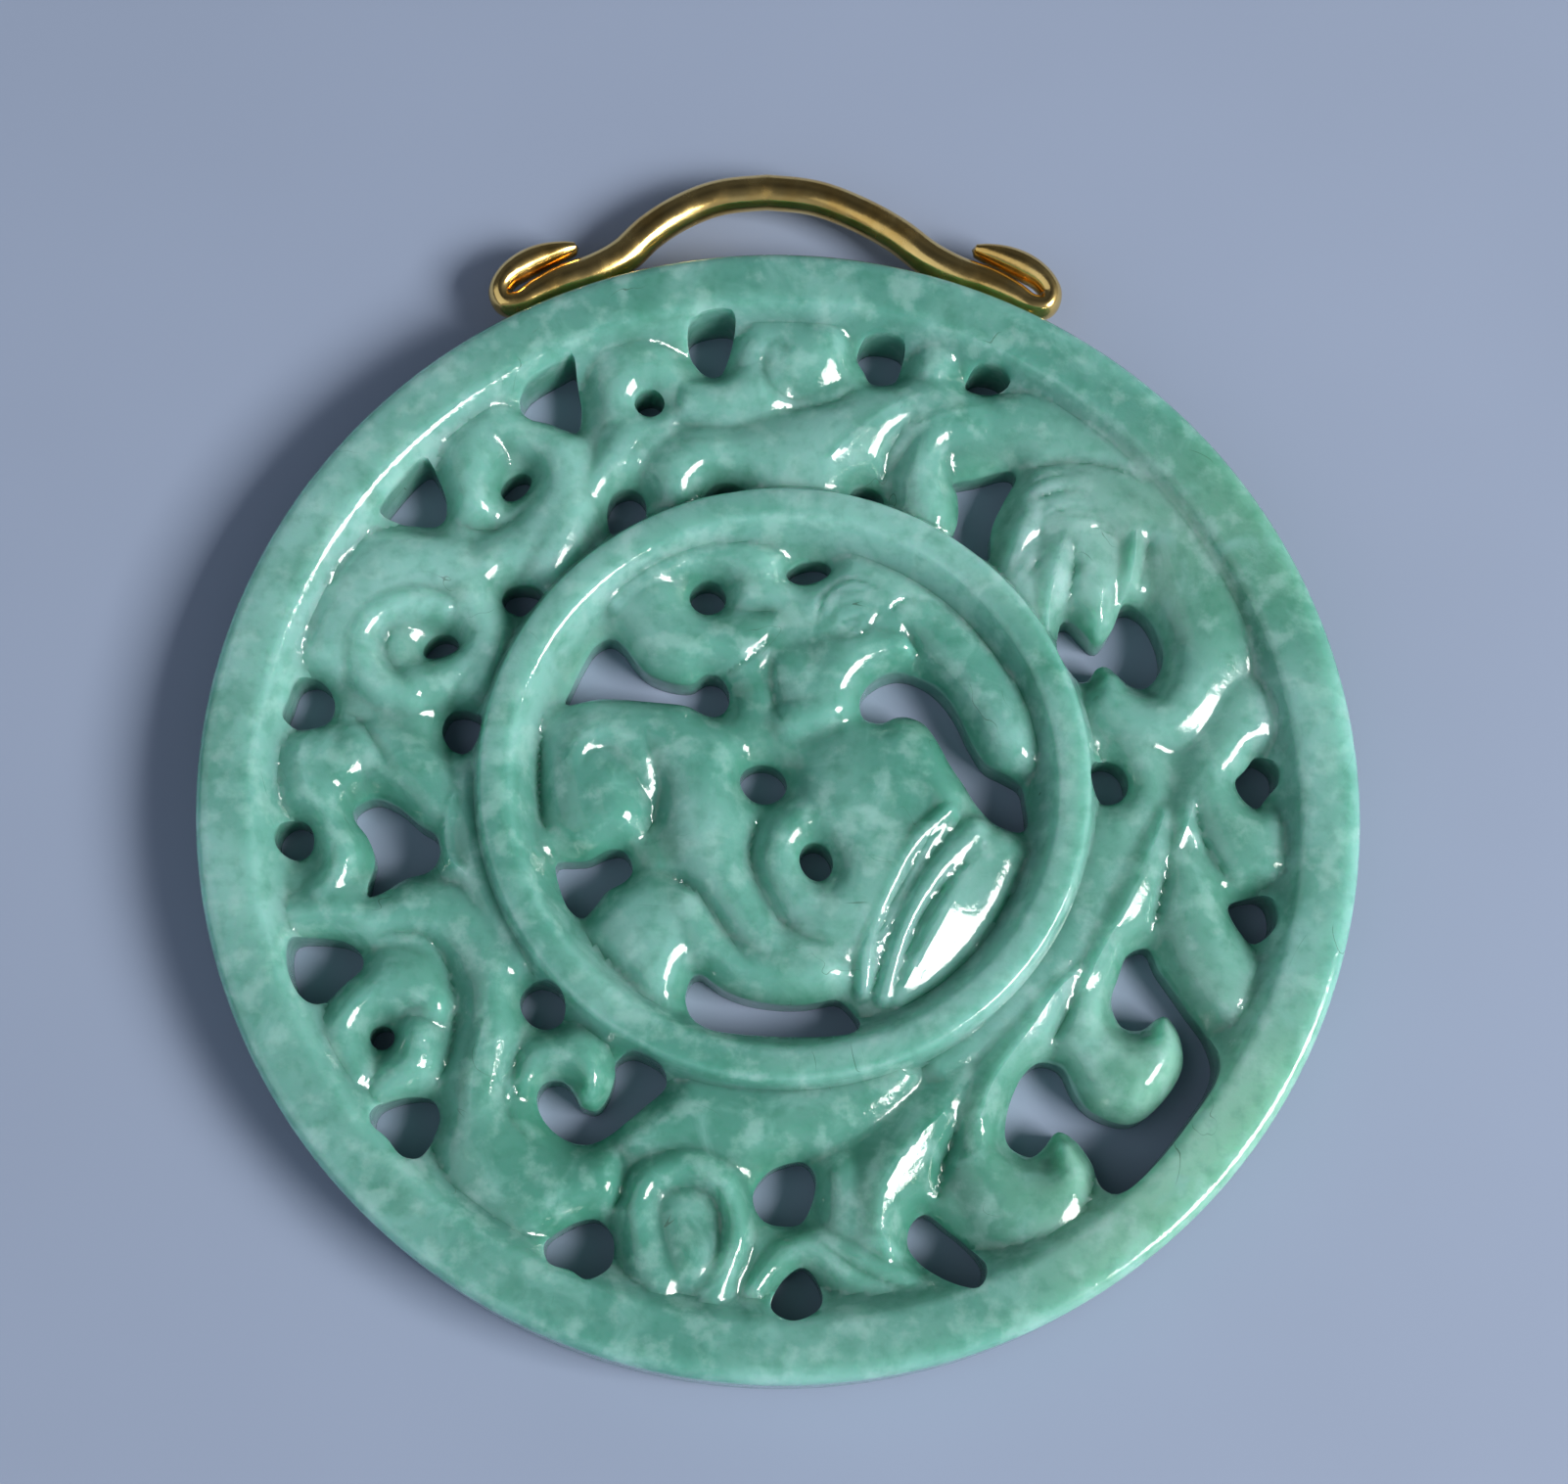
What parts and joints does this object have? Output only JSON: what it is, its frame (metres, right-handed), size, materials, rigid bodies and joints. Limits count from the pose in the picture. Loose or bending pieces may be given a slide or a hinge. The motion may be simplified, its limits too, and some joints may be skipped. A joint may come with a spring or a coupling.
{
  "type": "jade pendant",
  "caption": "Round pierced jade pendant: a disc carved in relief with a long-tailed bird among scrolls inside a raised rim and ring, hung from a curled gold wire bail.",
  "frame": {"origin": "under the middle of the whole outline, bail included, on the plane of the flat back", "axes": "+Z out of the carved face, +Y from the disc towards the bail, +X to the right seen from the front"},
  "size_m": [0.055, 0.06, 0.004],
  "materials": {
    "jade": "polished, slightly translucent",
    "gold": "polished"
  },
  "bodies": {
    "root": {"carved_jade_disc": "jade", "gold_bail": "gold"}
  },
  "joints": []
}
